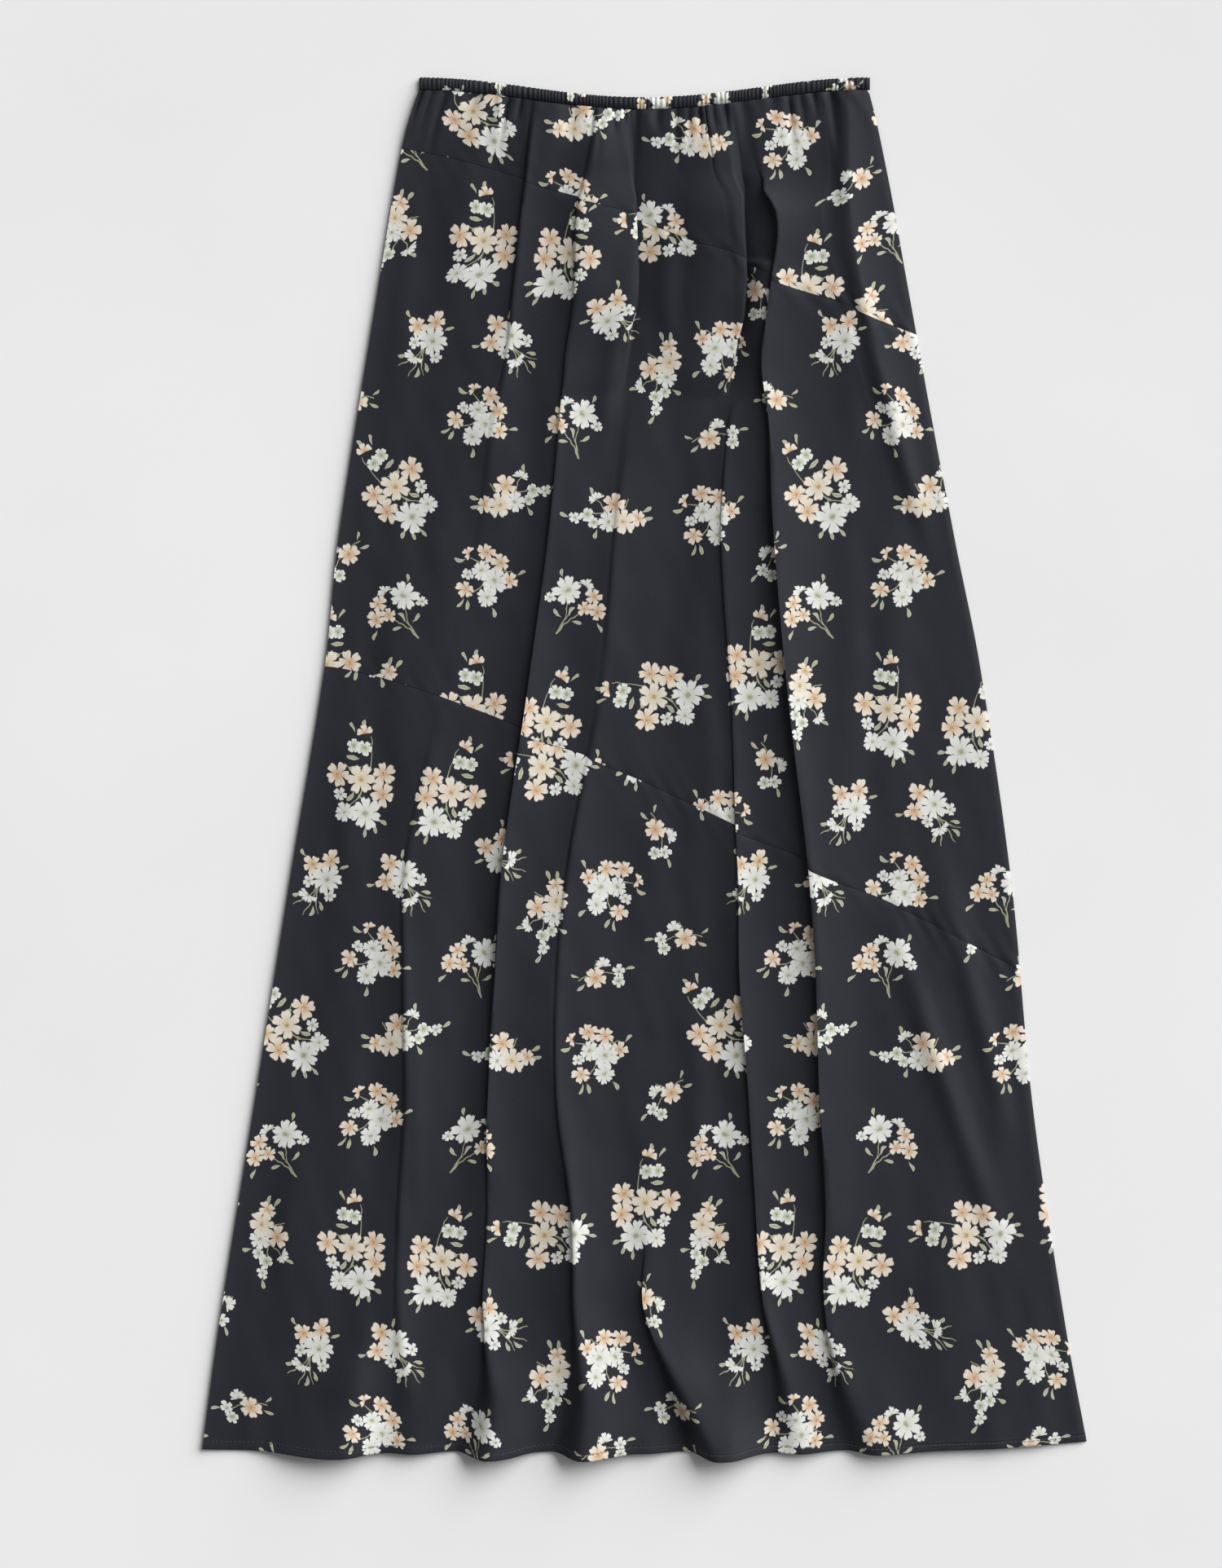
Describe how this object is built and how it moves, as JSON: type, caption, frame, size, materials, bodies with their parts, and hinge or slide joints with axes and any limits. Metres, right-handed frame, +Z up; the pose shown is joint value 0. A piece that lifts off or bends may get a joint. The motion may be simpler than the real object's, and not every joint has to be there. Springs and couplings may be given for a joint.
{
  "type": "maxi skirt laid flat",
  "caption": "Long A-line skirt laid flat, with slanting panel seams, a narrow gathered waist casing and soft lengthwise folds, in dark cloth printed with flower sprays.",
  "frame": {"origin": "on the surface that the skirt lies on, under the middle of its bounding box", "axes": "+Y towards the waist, +X to the right as seen from above, +Z up through the front panels"},
  "size_m": [0.6294, 0.9882, 0.0208],
  "materials": {
    "cloth": "soft plain weave with a slight sheen, printed with pale flower sprays",
    "casing": "the same printed cloth, gathered over elastic"
  },
  "bodies": {
    "root": {"back": "cloth", "front_yoke": "cloth", "front_middle": "cloth", "front_lower": "cloth", "waistband_back": "casing", "waistband_front": "casing"}
  },
  "joints": []
}
